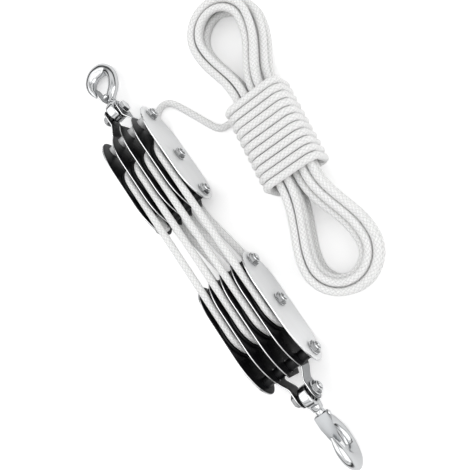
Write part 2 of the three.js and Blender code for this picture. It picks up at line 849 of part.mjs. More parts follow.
// Angle that tips a hook about its pin until it rests on the floor; up is 1 where the block's own
// Z points up and -1 where it points down
function restingDroop(swivel, up) {
  const place = hookGeometry().rotateY(swivel).getAttribute('position');
  let low = 0;
  let high = Math.PI / 2;
  for (let round = 0; round < droopRounds; round += 1) {
    const angle = (low + high) / 2;
    let lowest = 0;
    for (let k = 0; k < place.count; k += 1) {
      const height = up * place.getZ(k) * Math.cos(angle) - place.getY(k) * Math.sin(angle);
      lowest = Math.min(lowest, height);
    }
    if (axleHeight + lowest > 0) {
      low = angle;
    } else {
      high = angle;
    }
  }
  return low;
}

const assembly = new THREE.Group();

const upperBlock = new THREE.Group();
upperBlock.position.set(0, upperY, axleHeight);
addBlock(upperBlock, 'upper', 1);
const upperSwivel = Math.PI;
const upperDroop = restingDroop(upperSwivel, 1);
addHook(upperBlock, 'upper', -upperDroop, upperSwivel);
assembly.add(upperBlock);

const lowerBlock = new THREE.Group();
lowerBlock.position.set(0, lowerY, axleHeight);
lowerBlock.rotation.x = Math.PI;
addBlock(lowerBlock, 'lower', -1);
const lowerSwivel = Math.PI / 2;
const lowerDroop = restingDroop(lowerSwivel, -1);
addHook(lowerBlock, 'lower', lowerDroop, lowerSwivel);
assembly.add(lowerBlock);

for (let k = 1; k <= sheaveCount; k += 1) {
  addMesh(assembly, `rope_upper_turn_${k}`, woundTube(upperTurn(k), ropeRadius, ropeSides), 'rope');
  addMesh(assembly, `rope_lower_turn_${k}`, woundTube(lowerTurn(k), ropeRadius, ropeSides), 'rope');
}
addMesh(assembly, 'rope_dead_end', woundTube(deadEnd(), ropeRadius, ropeSides), 'rope');
addMesh(assembly, 'rope_lead', leadGeometry(), 'rope');
addMesh(assembly, 'rope_hank', woundTube(hankPoints(), ropeRadius, woundSides), 'rope');
addMesh(assembly, 'rope_binding', woundTube(bindingPoints(), ropeRadius, woundSides), 'rope');
console.log(`hank: least gap to itself ${leastGap(hankPoints(), ropeDiameter).toFixed(2)} mm`);
console.log(`binding: least gap to itself ${leastGap(bindingPoints(), ropeDiameter).toFixed(2)} mm`);

// The origin lies on the floor under the middle of the two blocks and their hooks
assembly.updateMatrixWorld(true);
const bounds = new THREE.Box3();
assembly.traverse((piece) => {
  if (piece.isMesh && !['rope_lead', 'rope_hank', 'rope_binding'].includes(piece.name)) {
    bounds.expandByObject(piece, true);
  }
});
const middle = bounds.getCenter(new THREE.Vector3());
assembly.position.set(-middle.x, -middle.y, -bounds.min.z);
console.log('moved by', assembly.position.toArray(), 'droops', upperDroop, lowerDroop);
console.log('box', bounds.getSize(new THREE.Vector3()).toArray());

export default assembly;
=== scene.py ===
"""A rope hoist: two blocks of four sheaves with swivel hooks, lying beside the hank of its rope."""

import math

import bmesh
import bpy
from bpy.props import FloatProperty, FloatVectorProperty, IntProperty, PointerProperty
from mathutils import Matrix, Vector


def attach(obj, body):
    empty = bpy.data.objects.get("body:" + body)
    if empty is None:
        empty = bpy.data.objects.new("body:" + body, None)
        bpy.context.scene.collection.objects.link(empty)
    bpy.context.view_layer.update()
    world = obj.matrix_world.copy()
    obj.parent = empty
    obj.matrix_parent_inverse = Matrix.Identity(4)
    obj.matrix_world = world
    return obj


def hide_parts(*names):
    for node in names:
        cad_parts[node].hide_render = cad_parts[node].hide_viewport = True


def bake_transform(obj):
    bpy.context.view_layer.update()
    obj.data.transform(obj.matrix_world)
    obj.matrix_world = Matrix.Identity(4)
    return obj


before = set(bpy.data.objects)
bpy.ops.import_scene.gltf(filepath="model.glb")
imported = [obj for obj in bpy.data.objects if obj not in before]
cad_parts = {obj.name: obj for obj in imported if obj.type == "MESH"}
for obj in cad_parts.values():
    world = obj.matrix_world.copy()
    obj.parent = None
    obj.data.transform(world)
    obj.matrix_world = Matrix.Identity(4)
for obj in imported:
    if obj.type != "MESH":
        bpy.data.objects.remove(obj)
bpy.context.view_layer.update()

bl_info = {
    "name": "Rope hoist",
    "version": (1, 0, 0),
    "blender": (4, 5, 0),
    "location": "View3D > Sidebar > Hoist",
    "description": "Builds a reeved rope hoist with its hank of spare rope",
    "category": "Object",
}

# The layout of the solids, in millimetres, in a frame midway between the axles
MM = 0.001
MIDDLE = Vector((-1.1, 1.2637, 0))
AXLE_HEIGHT = 23
AXLE_DISTANCE = 154
ROPE_RADIUS = 3.2
TURN_RADIUS = 18
GAP = 0.3
PITCH = 12.6
THICKNESS = 1.6
HEIGHT = 46
HOOK_BOLT = 46.5
TAIL_BOLT = 39.6
PIN_REACH = 72
EAR_SPREAD = 7.4
JOGGLE = (53, 63)
JOGGLE_CUTS, JOGGLE_EASE = 12, 0.35
EAR_WIDTH = 17
FLAT_HOOK, FLAT_TAIL = 19, 17
CHEEK_HOOK, CHEEK_TAIL = 57, 49
PLATE_HOOK, PLATE_TAIL = 55, 47
HOOK_END_WIDTH, TAIL_END_WIDTH = 21, 19
SHOULDER = 0.62
# Faces whose normal leans further towards X than this belong to a plate's broad sides
FACE_ON = 0.9
SLEEVE_RADIUS = 4.5
SPACER_RADIUS = 5
BOLT_RADIUS = 3
DEAD_TAIL = 9
FALL_CUT = AXLE_DISTANCE / 2 - CHEEK_TAIL
FALL_SHIFT = (PITCH - THICKNESS) / 2 - ROPE_RADIUS - GAP
DROOP = {"upper": 0.293471, "lower": 0.129263}
SIDE = {"upper": 1, "lower": -1}
SHEAVES = (1, 2, 3, 4)

# Edges that bend by more than this many degrees are shown sharp
SHARP = 35

# The hook's centre line and half sizes, as shares of its reach
HOOK_REACH = 68
HOOK_ROWS = (
    (0, 0.23, 0.056, 0.056),
    (0, 0.265, 0.062, 0.06),
    (-0.035, 0.335, 0.071, 0.065),
    (-0.124, 0.441, 0.075, 0.069),
    (-0.182, 0.618, 0.071, 0.071),
    (-0.151, 0.775, 0.075, 0.072),
    (-0.04, 0.872, 0.113, 0.078),
    (0.074, 0.889, 0.115, 0.078),
    (0.17, 0.812, 0.095, 0.074),
    (0.2, 0.7, 0.068, 0.064),
    (0.196, 0.61, 0.044, 0.045),
    (0.186, 0.535, 0.018, 0.021),
)
EYE_RADIUS, EYE_WALL, EYE_HALF = 5.8, 4, 4.6
EYE_PLACE = EYE_RADIUS - BOLT_RADIUS - GAP
EYE_ROUNDING = 1.95
COLLAR_BORE, COLLAR_END = 2.7, 15
SHANK_HEAD_RADIUS, SHANK_RADIUS = 3.5, 2.4
LATCH_PIVOT = (0.6, 21)
LATCH_HALF = 6

# Heads, nuts and sheaves; faces that look along the bolt by less than FLAT_ON are its flats, which carry a
# painted dark reflection
HEX_ACROSS = 10
HEAD_HEIGHT = 4
NUT_HEX_HEIGHT, NUT_HEIGHT = 3.4, 5
END_PAST_NUT = 1.2
FLANGE_RADIUS, FLANGE_HEIGHT = 6.3, 1.1
FLAT_ON = 0.4
HEAD_CHAMFER, NUT_CHAMFER, CORNER_CHAMFER = 0.4, 0.35, 0.25
LATHE_STEPS = 40
WHEEL_HALF, WHEEL_RIM = 5, 21
GROOVE_RADIUS = ROPE_RADIUS + 0.6

# The hank and its binding
HANK_PLACE = (104, 29)
HANK_LEAN = math.radians(-9)
HANK_LOOPS = 8
HANK_PER_LAYER = 2
HANK_LAYERS = HANK_LOOPS // HANK_PER_LAYER
HANK_PITCH = 7.5
HANK_LAYER = 7.1
HANK_FAN = 33
HANK_FAN_PLACE = 106
HANK_WAIST = 2.23 * HANK_PITCH
HANK_FLARE = 42
HANK_LIFT_END = 90
BINDING_TURNS = 11
BINDING_PITCH = 7
BINDING_GAP = 1
BINDING_CORNER = 8
BINDING_START = -0.22

# Strands of each slant round the rope, and the lead's way from its sheave to the binding
BRAID_STRANDS = 6
LEAD_ROUTE = (
    (18.9, 104.5, 21),
    (18.95, 111.6, 14.2),
    (19.2, 118.2, 8.3),
    (21, 125.2, 4.4),
    (25.8, 131, 3.35),
    (33, 133.2, 3.25),
    (39.6, 130.6, 3.25),
    (44, 124.6, 3.25),
    (47.4, 116.8, 3.25),
    (51.2, 107.5, 3.25),
    (55, 98, 3.25),
    (58.5, 89, 3.25),
    (62, 81.2, 3.25),
    (66, 76.6, 3.25),
)

# The camera, fitted to the photograph
CAMERA_PLACE = Vector((201.77, -158.24, 513.73))
CAMERA_RIGHT = Vector((0.71996, -0.54922, -0.42428))
CAMERA_UP = Vector((0.61306, 0.78984, 0.01786))
CAMERA_BACK = Vector((0.3253, -0.27297, 0.90535))
SENSOR_WIDTH = 36

# The studio: lamps as name, place, size and power; the wall that metal mirrors as height and tone
FLOOR_HALF = 4
FLOOR_GLOW = 0.3
DAYLIGHT = 0.68
LAMPS = (
    ("key light", (-0.5, 0.4, 1.0), 1.5, 5.5),
    ("fill light", (0.9, -0.5, 0.8), 1.5, 7.5),
)
LAMP_TARGET = Vector((0.03, 0, 0))
WALL_ENDS = (0.5, 1.0)
WALL_TONES = ((0.16, 0.04), (0.3, 0.05), (0.42, 0.9), (0.62, 1.0), (0.7, 0.3), (0.78, 0.95))


class HOIST_PG_sizes(bpy.types.PropertyGroup):
    plate_edge: FloatProperty(
        name="Plate edge", description="Rounding of the plates' edges", default=0.45 * MM, unit="LENGTH"
    )
    rope_step: FloatProperty(
        name="Rope step", description="Length of rope between two rings", default=1.6 * MM, unit="LENGTH"
    )
    rope_sides: IntProperty(name="Rope sides", description="Sides of the rope's section", default=14)
    braid_length: FloatProperty(
        name="Braid length", description="Rope that one stitch takes", default=4.2 * MM, unit="LENGTH"
    )
    wheel_steps: IntProperty(name="Wheel steps", description="Steps round each sheave", default=72)
    focal_length: FloatProperty(
        name="Focal length", description="The camera's lens in millimetres", default=50
    )


class HOIST_PG_colours(bpy.types.PropertyGroup):
    cheek: FloatVectorProperty(
        name="Cheek", description="Bright plated sheet", default=(0.84, 0.845, 0.85), subtype="COLOR"
    )
    # Painted shade: the black of the plates' inner faces and of most tubes stands for the shade inside the
    # block
    inner_painted_shade: FloatVectorProperty(
        name="Coat", description="Black inside of the plates", default=(0.006, 0.006, 0.007), subtype="COLOR"
    )
    sheave: FloatVectorProperty(
        name="Sheave", description="Moulded black wheels", default=(0.008, 0.008, 0.009), subtype="COLOR"
    )
    chrome: FloatVectorProperty(
        name="Chrome", description="Bright hooks and eyes", default=(0.66, 0.67, 0.68), subtype="COLOR"
    )
    fastener: FloatVectorProperty(
        name="Fastener", description="Plated bolts and nuts", default=(0.8, 0.81, 0.82), subtype="COLOR"
    )
    latch: FloatVectorProperty(
        name="Latch", description="Bent sheet of the latches", default=(0.42, 0.43, 0.44), subtype="COLOR"
    )
    rope: FloatVectorProperty(
        name="Rope", description="White braided rope", default=(0.84, 0.84, 0.835), subtype="COLOR"
    )
    floor: FloatVectorProperty(
        name="Floor", description="Pale studio floor", default=(0.93, 0.93, 0.93), subtype="COLOR"
    )


# Materials


def node_of(tree, kind, **values):
    node = tree.nodes.new(kind)
    for name, value in values.items():
        setattr(node, name, value)
    return node


def maths(tree, operation, *values):
    """A Math node on sockets or plain numbers."""
    node = node_of(tree, "ShaderNodeMath", operation=operation)
    for k, value in enumerate(values):
        if isinstance(value, (int, float)):
            node.inputs[k].default_value = value
        else:
            tree.links.new(value, node.inputs[k])
    return node.outputs[0]


def plain(name, colour, roughness, metallic):
    """A material with its Principled shader's constant values set."""
    found = bpy.data.materials.get(name)
    if found:
        return found, None, None
    material = bpy.data.materials.new(name)
    material.use_nodes = True
    material.diffuse_color = (*colour, 1)
    shader = material.node_tree.nodes["Principled BSDF"]
    shader.inputs["Base Color"].default_value = (*colour, 1)
    shader.inputs["Roughness"].default_value = roughness
    shader.inputs["Metallic"].default_value = metallic
    return material, material.node_tree, shader


def mottled(tree, shader, colour, scale, spread, rough, bump, stretch=(1, 1, 1)):
    """Noise on object coordinates that varies the colour, the roughness and, a little, the surface."""
    where = node_of(tree, "ShaderNodeTexCoord")
    mapping = node_of(tree, "ShaderNodeMapping")
    mapping.inputs["Scale"].default_value = stretch
    noise = node_of(tree, "ShaderNodeTexNoise")
    noise.inputs["Scale"].default_value = scale
    noise.inputs["Detail"].default_value = 5
    tree.links.new(where.outputs["Object"], mapping.inputs["Vector"])
    tree.links.new(mapping.outputs["Vector"], noise.inputs["Vector"])
    tint = tinted(tree, [c * (1 - spread) for c in colour], [c * (1 + spread) for c in colour])
    tree.links.new(noise.outputs[0], tint.inputs[0])
    tree.links.new(tint.outputs[2], shader.inputs["Base Color"])
    ramp = node_of(tree, "ShaderNodeMapRange")
    ramp.inputs["From Min"].default_value = 0.3
    ramp.inputs["From Max"].default_value = 0.7
    ramp.inputs["To Min"].default_value = rough[0]
    ramp.inputs["To Max"].default_value = rough[1]
    tree.links.new(noise.outputs[0], ramp.inputs["Value"])
    tree.links.new(ramp.outputs["Result"], shader.inputs["Roughness"])
    lift = node_of(tree, "ShaderNodeBump")
    lift.inputs["Strength"].default_value = bump
    lift.inputs["Distance"].default_value = 0.1 * MM
    tree.links.new(noise.outputs[0], lift.inputs["Height"])
    tree.links.new(lift.outputs["Normal"], shader.inputs["Normal"])


def tinted(tree, dark, light):
    """A mix of two colours, neither brighter than white."""
    tint = node_of(tree, "ShaderNodeMix", data_type="RGBA")
    tint.inputs[6].default_value = (*dark, 1)
    tint.inputs[7].default_value = (*[min(1, c) for c in light], 1)
    return tint


def metal(name, colour, rough, **grain):
    material, tree, shader = plain(name, colour, rough[0], 1)
    if tree:
        mottled(tree, shader, colour, rough=rough, **grain)
    return material


def cheek_finish(colours):
    material, tree, shader = plain("plated sheet", colours.cheek, 0.4, 0.25)
    if tree:
        along = (1, 0.08, 1)
        mottled(tree, shader, colours.cheek, 140, 0.04, rough=(0.36, 0.48), bump=0.08, stretch=along)
    return material


def edge_finish(colours):
    return metal("bright cut edge", colours.cheek, (0.22, 0.34), scale=400, spread=0.1, bump=0.1)


# Painted shade: a black gloss for faces and tubes in the shade between the plates
def painted_shade_finish(colours):
    material, tree, shader = plain("black painted shade", colours.inner_painted_shade, 0.3, 0)
    if tree:
        shader.inputs["Specular IOR Level"].default_value = 0.35
        mottled(tree, shader, colours.inner_painted_shade, 500, 0.25, rough=(0.26, 0.4), bump=0.08)
    return material


def sheave_finish(colours):
    material, tree, shader = plain("moulded black", colours.sheave, 0.45, 0)
    if tree:
        shader.inputs["Specular IOR Level"].default_value = 0.3
        mottled(tree, shader, colours.sheave, 900, 0.3, rough=(0.38, 0.5), bump=0.15)
    return material


def chrome_finish(colours):
    return metal("bright chrome", colours.chrome, (0.08, 0.16), scale=90, spread=0.05, bump=0.05)


def fastener_finish(colours):
    return metal("plated fastener", colours.fastener, (0.1, 0.2), scale=300, spread=0.08, bump=0.12)


def painted_dark_flats_finish(colours):
    """The flats of heads and nuts, painted dark as a reflection of the dark plates beside them."""
    shaded = [0.38 * c for c in colours.fastener]
    return metal("fastener flats painted dark", shaded, (0.2, 0.34), scale=300, spread=0.15, bump=0.12)


def tube_finish(colours):
    material, tree, shader = plain("satin tube", colours.cheek, 0.5, 0.2)
    if tree:
        along = (0.2, 1, 1)
        mottled(tree, shader, colours.cheek, 200, 0.08, rough=(0.45, 0.6), bump=0.1, stretch=along)
    return material


def latch_finish(colours):
    along = (1, 0.2, 1)
    return metal("latch sheet", colours.latch, (0.25, 0.4), scale=250, spread=0.08, bump=0.1, stretch=along)


def rope_finish(colours):
    """White braid: two sets of slanting strands, over and under each other, on the rope's own map."""
    material, tree, shader = plain("white braid", colours.rope, 0.75, 0)
    if not tree:
        return material
    shader.inputs["Sheen Weight"].default_value = 0.25
    shader.inputs["Sheen Roughness"].default_value = 0.5
    shader.inputs["Subsurface Weight"].default_value = 0.12
    shader.inputs["Subsurface Radius"].default_value = (1.2 * MM, 1.2 * MM, 1.2 * MM)
    where = node_of(tree, "ShaderNodeUVMap", uv_map="braid")
    split = node_of(tree, "ShaderNodeSeparateXYZ")
    tree.links.new(where.outputs["UV"], split.inputs[0])
    around, along = split.outputs[0], split.outputs[1]
    one = maths(tree, "ADD", maths(tree, "MULTIPLY", around, BRAID_STRANDS), along)
    two = maths(tree, "SUBTRACT", maths(tree, "MULTIPLY", around, BRAID_STRANDS), along)
    crossing = maths(tree, "ADD", maths(tree, "FLOOR", one), maths(tree, "FLOOR", two))
    odd = maths(tree, "PINGPONG", crossing, 1)
    ridges = []
    for across in (one, two):
        share = maths(tree, "FRACT", across)
        ridges.append(maths(tree, "SINE", maths(tree, "MULTIPLY", share, math.pi)))
    height = node_of(tree, "ShaderNodeMix", data_type="FLOAT")
    tree.links.new(odd, height.inputs[0])
    tree.links.new(ridges[0], height.inputs[2])
    tree.links.new(ridges[1], height.inputs[3])
    fibres = node_of(tree, "ShaderNodeTexNoise")
    fibres.inputs["Scale"].default_value = 4.5
    fibres.inputs["Detail"].default_value = 6
    fibres.inputs["Roughness"].default_value = 0.75
    tree.links.new(where.outputs["UV"], fibres.inputs["Vector"])
    strands = maths(tree, "MULTIPLY", height.outputs[0], 0.5)
    total = maths(tree, "ADD", strands, maths(tree, "MULTIPLY", fibres.outputs[0], 0.8))
    bump = node_of(tree, "ShaderNodeBump")
    bump.inputs["Strength"].default_value = 0.9
    bump.inputs["Distance"].default_value = 0.35 * MM
    tree.links.new(total, bump.inputs["Height"])
    tree.links.new(bump.outputs["Normal"], shader.inputs["Normal"])
    # The colour follows the braid's height: painted shade darkens the dips between strands, and the fibre
    # noise gives random tone
    tint = tinted(tree, [0.54 * c for c in colours.rope], [1.1 * c for c in colours.rope])
    tree.links.new(maths(tree, "POWER", total, 0.9), tint.inputs[0])
    tree.links.new(tint.outputs[2], shader.inputs["Base Color"])
    return material


# Making pieces


def finished(bm, name, body, materials, nodes, sharp=SHARP):
    """Turns a bmesh in the row frame into a named piece that rides on its body."""
    mesh = bpy.data.meshes.new(name)
    bm.to_mesh(mesh)
    bm.free()
    piece = bpy.data.objects.new(name, mesh)
    bpy.context.scene.collection.objects.link(piece)
    for material in materials:
        mesh.materials.append(material)
    mesh.shade_smooth()
    mesh.set_sharp_from_angle(angle=math.radians(sharp))
    if body:
        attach(piece, body)
    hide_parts(*nodes)
    return piece


def outward(bm, closeness):
    """Joins vertices that are closer than closeness and turns all faces outwards."""
    bmesh.ops.remove_doubles(bm, verts=bm.verts, dist=closeness)
    bmesh.ops.recalc_face_normals(bm, faces=bm.faces)


def block_place(block):
    """From a block's own millimetres, its hook towards +Y, to the row frame."""
    centre = MIDDLE + Vector((0, SIDE[block] * AXLE_DISTANCE / 2, AXLE_HEIGHT))
    turn = Matrix.Identity(4) if block == "upper" else Matrix.Rotation(math.pi, 4, "X")
    return Matrix.Scale(MM, 4) @ Matrix.Translation(centre) @ turn


def eye_place(block):
    """From the eye's millimetres about its pin, at its droop to the floor, to the row frame."""
    droop = -SIDE[block] * DROOP[block]
    return block_place(block) @ Matrix.Translation((0, PIN_REACH, 0)) @ Matrix.Rotation(droop, 4, "X")


def hook_place(block):
    """As for the eye, with the hook turned flat on the upper block and upright on the lower."""
    swivel = math.pi if block == "upper" else math.pi / 2
    return eye_place(block) @ Matrix.Rotation(swivel, 4, "Y")


def row(point):
    """From the millimetres midway between the axles to the row frame."""
    return (Vector(point) + MIDDLE) * MM


def sheave_x(k):
    return (k - (len(SHEAVES) + 1) / 2) * PITCH


def catmull(points, place):
    """A point of a centripetal spline through the points; place counts the points passed."""
    last = len(points) - 1
    k = min(int(place), last - 1)
    share = place - k
    p1, p2 = points[k], points[k + 1]
    p0 = points[k - 1] if k else 2 * points[0] - points[1]
    p3 = points[k + 2] if k + 2 <= last else 2 * points[last] - points[last - 1]
    d0 = max((p1 - p0).length ** 0.5, 1e-6)
    d1 = max((p2 - p1).length ** 0.5, 1e-6)
    d2 = max((p3 - p2).length ** 0.5, 1e-6)
    t1 = ((p1 - p0) / d0 - (p2 - p0) / (d0 + d1) + (p2 - p1) / d1) * d1
    t2 = ((p2 - p1) / d1 - (p3 - p1) / (d1 + d2) + (p3 - p2) / d2) * d1
    a = 2 * p1 - 2 * p2 + t1 + t2
    b = -3 * p1 + 3 * p2 - 2 * t1 - t2
    return p1 + t1 * share + b * share**2 + a * share**3


def splined(points):
    """A smooth line through the points."""
    spots, per_stretch = [Vector(p) for p in points], 24
    count = (len(spots) - 1) * per_stretch
    return [catmull(spots, k / per_stretch) for k in range(count + 1)]


def evenly(points, step):
    """The same line with points a step apart."""
    total = sum((b - a).length for a, b in zip(points, points[1:]))
    count = max(2, round(total / step))
    spacing = total / count
    result, walked, due = [points[0].copy()], 0.0, spacing
    for a, b in zip(points, points[1:]):
        length = (b - a).length
        while length > 0 and walked + length >= due - 1e-12 and len(result) < count:
            result.append(a.lerp(b, (due - walked) / length))
            due += spacing
        walked += length
    return result + [points[-1].copy()]


def swept(bm, points, section, sides, braid=None):
    """Rolls a grid into a tube along the points.

    section(k) gives ring k's half sizes, and braid is the length of a stitch for the rope's map.
    """
    grid = bmesh.ops.create_grid(bm, x_segments=sides, y_segments=len(points) - 1, size=1)["verts"]
    grid.sort(key=lambda vert: (round(vert.co.y, 6), vert.co.x))
    layer = bm.loops.layers.uv.new("braid") if braid else None
    ahead = (points[1] - points[0]).normalized()
    up = Vector((0, 0, 1)) if abs(ahead.z) < 0.7 else Vector((1, 0, 0))
    up = (up - ahead * up.dot(ahead)).normalized()
    walked, spots = 0.0, {}
    for k, point in enumerate(points):
        heading = (points[min(k + 1, len(points) - 1)] - points[max(k - 1, 0)]).normalized()
        up.rotate(ahead.rotation_difference(heading))
        ahead = heading
        across = ahead.cross(up)
        wide, high = section(k)
        if k:
            walked += (point - points[k - 1]).length
        for s, vert in enumerate(grid[k * (sides + 1):(k + 1) * (sides + 1)]):
            angle = 2 * math.pi * (s % sides + 0.5) / sides
            vert.co = point + across * (wide * math.cos(angle)) + up * (high * math.sin(angle))
            spots[vert] = (s / sides, walked / braid if braid else 0)
    if layer:
        for face in bm.faces:
            for loop in face.loops:
                loop[layer].uv = spots[loop.vert]
    seam = [vert for n, vert in enumerate(grid) if n % (sides + 1) in (0, sides)]
    bmesh.ops.remove_doubles(bm, verts=seam, dist=1e-9)
    ends = [edge for edge in bm.edges if edge.is_boundary]
    bmesh.ops.holes_fill(bm, edges=ends, sides=0)
    bmesh.ops.recalc_face_normals(bm, faces=bm.faces)


def rope_piece(context, name, path, body, nodes):
    """A braided rope along a path in the row frame. Returns the piece and its points."""
    sizes, colours = context.scene.hoist_sizes, context.scene.hoist_colours
    points = evenly(path, sizes.rope_step)
    bm = bmesh.new()
    radius = ROPE_RADIUS * MM
    swept(bm, points, lambda k: (radius, radius), sizes.rope_sides, sizes.braid_length)
    return finished(bm, name, body, [rope_finish(colours)], nodes, 60), points


# Rope


def arc(x, y, radius, start, stop, side):
    """Round a circle in a sheave's plane: 0 is its top, and side is the way along Y that it bulges."""
    result, steps = [], 40
    for k in range(steps + 1):
        angle = start + (stop - start) * k / steps
        out, up = radius * math.sin(angle), radius * math.cos(angle)
        result.append(Vector((x, y + side * out, AXLE_HEIGHT + up)))
    return result


FALL_TOP = AXLE_HEIGHT + TURN_RADIUS
FALL_BOTTOM = AXLE_HEIGHT - TURN_RADIUS
ANCHOR_Y = AXLE_DISTANCE / 2 - TAIL_BOLT
ANCHOR_RADIUS = SPACER_RADIUS + GAP + ROPE_RADIUS


def dead_end_height(y):
    """The first fall runs from its sheave's bottom up to the tail spacer."""
    share = (y + AXLE_DISTANCE / 2) / (ANCHOR_Y + AXLE_DISTANCE / 2)
    return FALL_BOTTOM + share * (AXLE_HEIGHT - ANCHOR_RADIUS - FALL_BOTTOM)


def upper_turn(k):
    x, y = sheave_x(k), AXLE_DISTANCE / 2
    start = [Vector((x, FALL_CUT, FALL_TOP))]
    if k == len(SHEAVES):
        return start + arc(x, y, TURN_RADIUS, 0, math.pi / 4, 1)
    shifted = x + FALL_SHIFT
    rear = [
        (x, y, FALL_BOTTOM),
        (shifted, FALL_CUT + ROPE_RADIUS, FALL_BOTTOM),
        (shifted, FALL_CUT, FALL_BOTTOM),
    ]
    return start + arc(x, y, TURN_RADIUS, 0, math.pi, 1) + splined(rear)[1:]


def lower_turn(k):
    x, y, cut = sheave_x(k), -AXLE_DISTANCE / 2, FALL_CUT
    points = [Vector((x, cut, FALL_TOP))] + arc(x, y, TURN_RADIUS, 0, math.pi, -1)
    if k == 1:
        return points + [Vector((x, cut, dead_end_height(cut)))]
    above = sheave_x(k - 1) + FALL_SHIFT
    inside = y + CHEEK_TAIL
    rear = [
        (x, y, FALL_BOTTOM),
        # beside the wall of its own bay, then on to the bay before it
        (x - FALL_SHIFT * 0.9, inside - 4, FALL_BOTTOM),
        (x - FALL_SHIFT - 0.6, inside + 4, FALL_BOTTOM),
        (above + 0.6, cut - 8, FALL_BOTTOM),
        (above, cut, FALL_BOTTOM),
    ]
    return points + splined(rear)[1:]


def dead_end():
    x = sheave_x(1)
    loop = arc(x, ANCHOR_Y, ANCHOR_RADIUS, math.pi, 0, 1)
    tail = Vector((x, ANCHOR_Y - DEAD_TAIL, AXLE_HEIGHT + ANCHOR_RADIUS))
    return [Vector((x, FALL_CUT, dead_end_height(FALL_CUT)))] + loop + [tail]


def placed_hank(across, along, height):
    turned = Matrix.Rotation(HANK_LEAN, 2) @ Vector((across, along))
    return Vector((HANK_PLACE[0] + turned.x, HANK_PLACE[1] + turned.y, height))


def smooth(value, low, high):
    share = min(max((value - low) / (high - low), 0), 1)
    return share * share * (3 - 2 * share)


def half_width(along):
    """Half the hank's width, from its narrow waist to its fans."""
    share = min(max((abs(along) - HANK_FLARE) / (HANK_FAN_PLACE - HANK_FLARE), 0), 1)
    return HANK_WAIST + (HANK_FAN - HANK_WAIST) * (1 - math.cos(math.pi * share)) / 2


def run_place(share):
    """How far from the waist a share of the way to the fan lies; the waist takes a third."""
    if share < 1 / 3:
        return HANK_FLARE * share * 3
    return HANK_FLARE + (HANK_FAN_PLACE - HANK_FLARE) * (share - 1 / 3) * 1.5


def hank_point(turn):
    """Whole turns lie at the waist of the run away from the blocks."""
    period = 2 * HANK_PER_LAYER
    phase = turn % period
    inward = HANK_PITCH * (phase if phase < HANK_PER_LAYER else period - phase)
    layer = sum(
        min(max((turn - k * HANK_PER_LAYER) * 2 + 0.5, 0), 1) for k in range(1, HANK_LAYERS)
    )
    eighth = (turn % 1) * 8
    if eighth < 1 or eighth > 7:
        along = run_place(eighth) if eighth < 1 else -run_place(8 - eighth)
        across = half_width(along) - inward
    elif 3 <= eighth <= 5:
        along = run_place(4 - eighth) if eighth < 4 else -run_place(eighth - 4)
        across = -half_width(along) + inward
    else:
        end, middle = (1, 2) if eighth < 3 else (-1, 6)
        angle = (eighth - middle) * math.pi / 2
        along = end * (HANK_FAN_PLACE + (HANK_FAN - inward) * math.cos(angle))
        across = -end * (HANK_FAN - inward) * math.sin(angle)
    lift = (2 * ROPE_RADIUS + BINDING_GAP) * (1 - smooth(abs(along), HANK_FLARE, HANK_LIFT_END))
    height = ROPE_RADIUS + GAP + lift + layer * HANK_LAYER
    return placed_hank(across, along, height)


def binding_point(turn):
    """Starts under the middle of the waist; below 0 it runs straight back towards the blocks."""
    bottom = ROPE_RADIUS + GAP
    height = (HANK_LAYERS - 1) * HANK_LAYER / 2 + 2 * ROPE_RADIUS + BINDING_GAP
    corner = BINDING_CORNER
    flat_x = HANK_WAIST + 2 * ROPE_RADIUS + BINDING_GAP - corner
    flat_z = height - corner
    bend = math.pi / 2 * corner
    whole = 4 * (flat_x + flat_z + bend)
    along = BINDING_PITCH * (BINDING_TURNS / 2 - turn)
    if turn < 0:
        return placed_hank(turn * whole, along, bottom)
    left = (turn % 1) * whole
    spot, heading = Vector((0, -height)), 0.0
    stretches = (flat_x, bend, 2 * flat_z, bend, 2 * flat_x, bend, 2 * flat_z, bend, flat_x)
    for k, length in enumerate(stretches):
        gone = min(left, length)
        left -= gone
        if k % 2:
            centre = spot + Vector((-math.sin(heading), math.cos(heading))) * corner
            spot = centre + Matrix.Rotation(gone / corner, 2) @ (spot - centre)
            heading += gone / corner
        else:
            spot = spot + Vector((math.cos(heading), math.sin(heading))) * gone
    return placed_hank(spot.x, along, bottom + height + spot.y)


class HOIST_OT_free_rope(bpy.types.Operator):
    """Adds the lead, the binding and the hank of spare rope"""

    bl_idname = "hoist.free_rope"
    bl_label = "Lead, binding and hank"

    def execute(self, context):
        leaves = arc(sheave_x(4), AXLE_DISTANCE / 2, TURN_RADIUS, 0, math.pi / 4, 1)[-1]
        down = Vector((0, math.cos(math.pi / 4), -math.sin(math.pi / 4)))
        meets = binding_point(BINDING_START)
        into = (binding_point(BINDING_START + 0.04) - meets).normalized()
        lead = splined(
            [leaves, leaves + down * 2 * ROPE_RADIUS, *LEAD_ROUTE, meets - into * 2 * ROPE_RADIUS, meets]
        )
        steps = 120
        start = int(BINDING_START * steps)
        binding = [binding_point(k / steps) for k in range(start + 1, BINDING_TURNS * steps + 1)]
        route = [row(p) for p in lead + binding]
        nodes = ["rope_lead", "rope_binding"]
        piece, points = rope_piece(context, "rope_lead_and_binding", route, "upper_block", nodes)
        steps = 160
        route = [row(hank_point(k / steps)) for k in range(HANK_LOOPS * steps + 1)]
        piece, points = rope_piece(context, "rope_hank_loops", route, "upper_block", ["rope_hank"])
        return {"FINISHED"}


class HOIST_OT_reeved_rope(bpy.types.Operator):
    """Adds the rope on the sheaves, its falls and the dead end"""

    bl_idname = "hoist.reeved_rope"
    bl_label = "Reeved rope"

    def execute(self, context):
        for k in SHEAVES:
            route = [row(p) for p in upper_turn(k)]
            rope_piece(context, f"rope_over_upper_{k}", route, "upper_block", [f"rope_upper_turn_{k}"])
            route = [row(p) for p in lower_turn(k)]
            piece, _ = rope_piece(context, f"rope_over_lower_{k}", route, None, [f"rope_lower_turn_{k}"])
            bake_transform(piece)
        route = [row(p) for p in dead_end()]
        rope_piece(context, "rope_dead_end_loop", route, "upper_block", ["rope_dead_end"])
        return {"FINISHED"}


# Plates


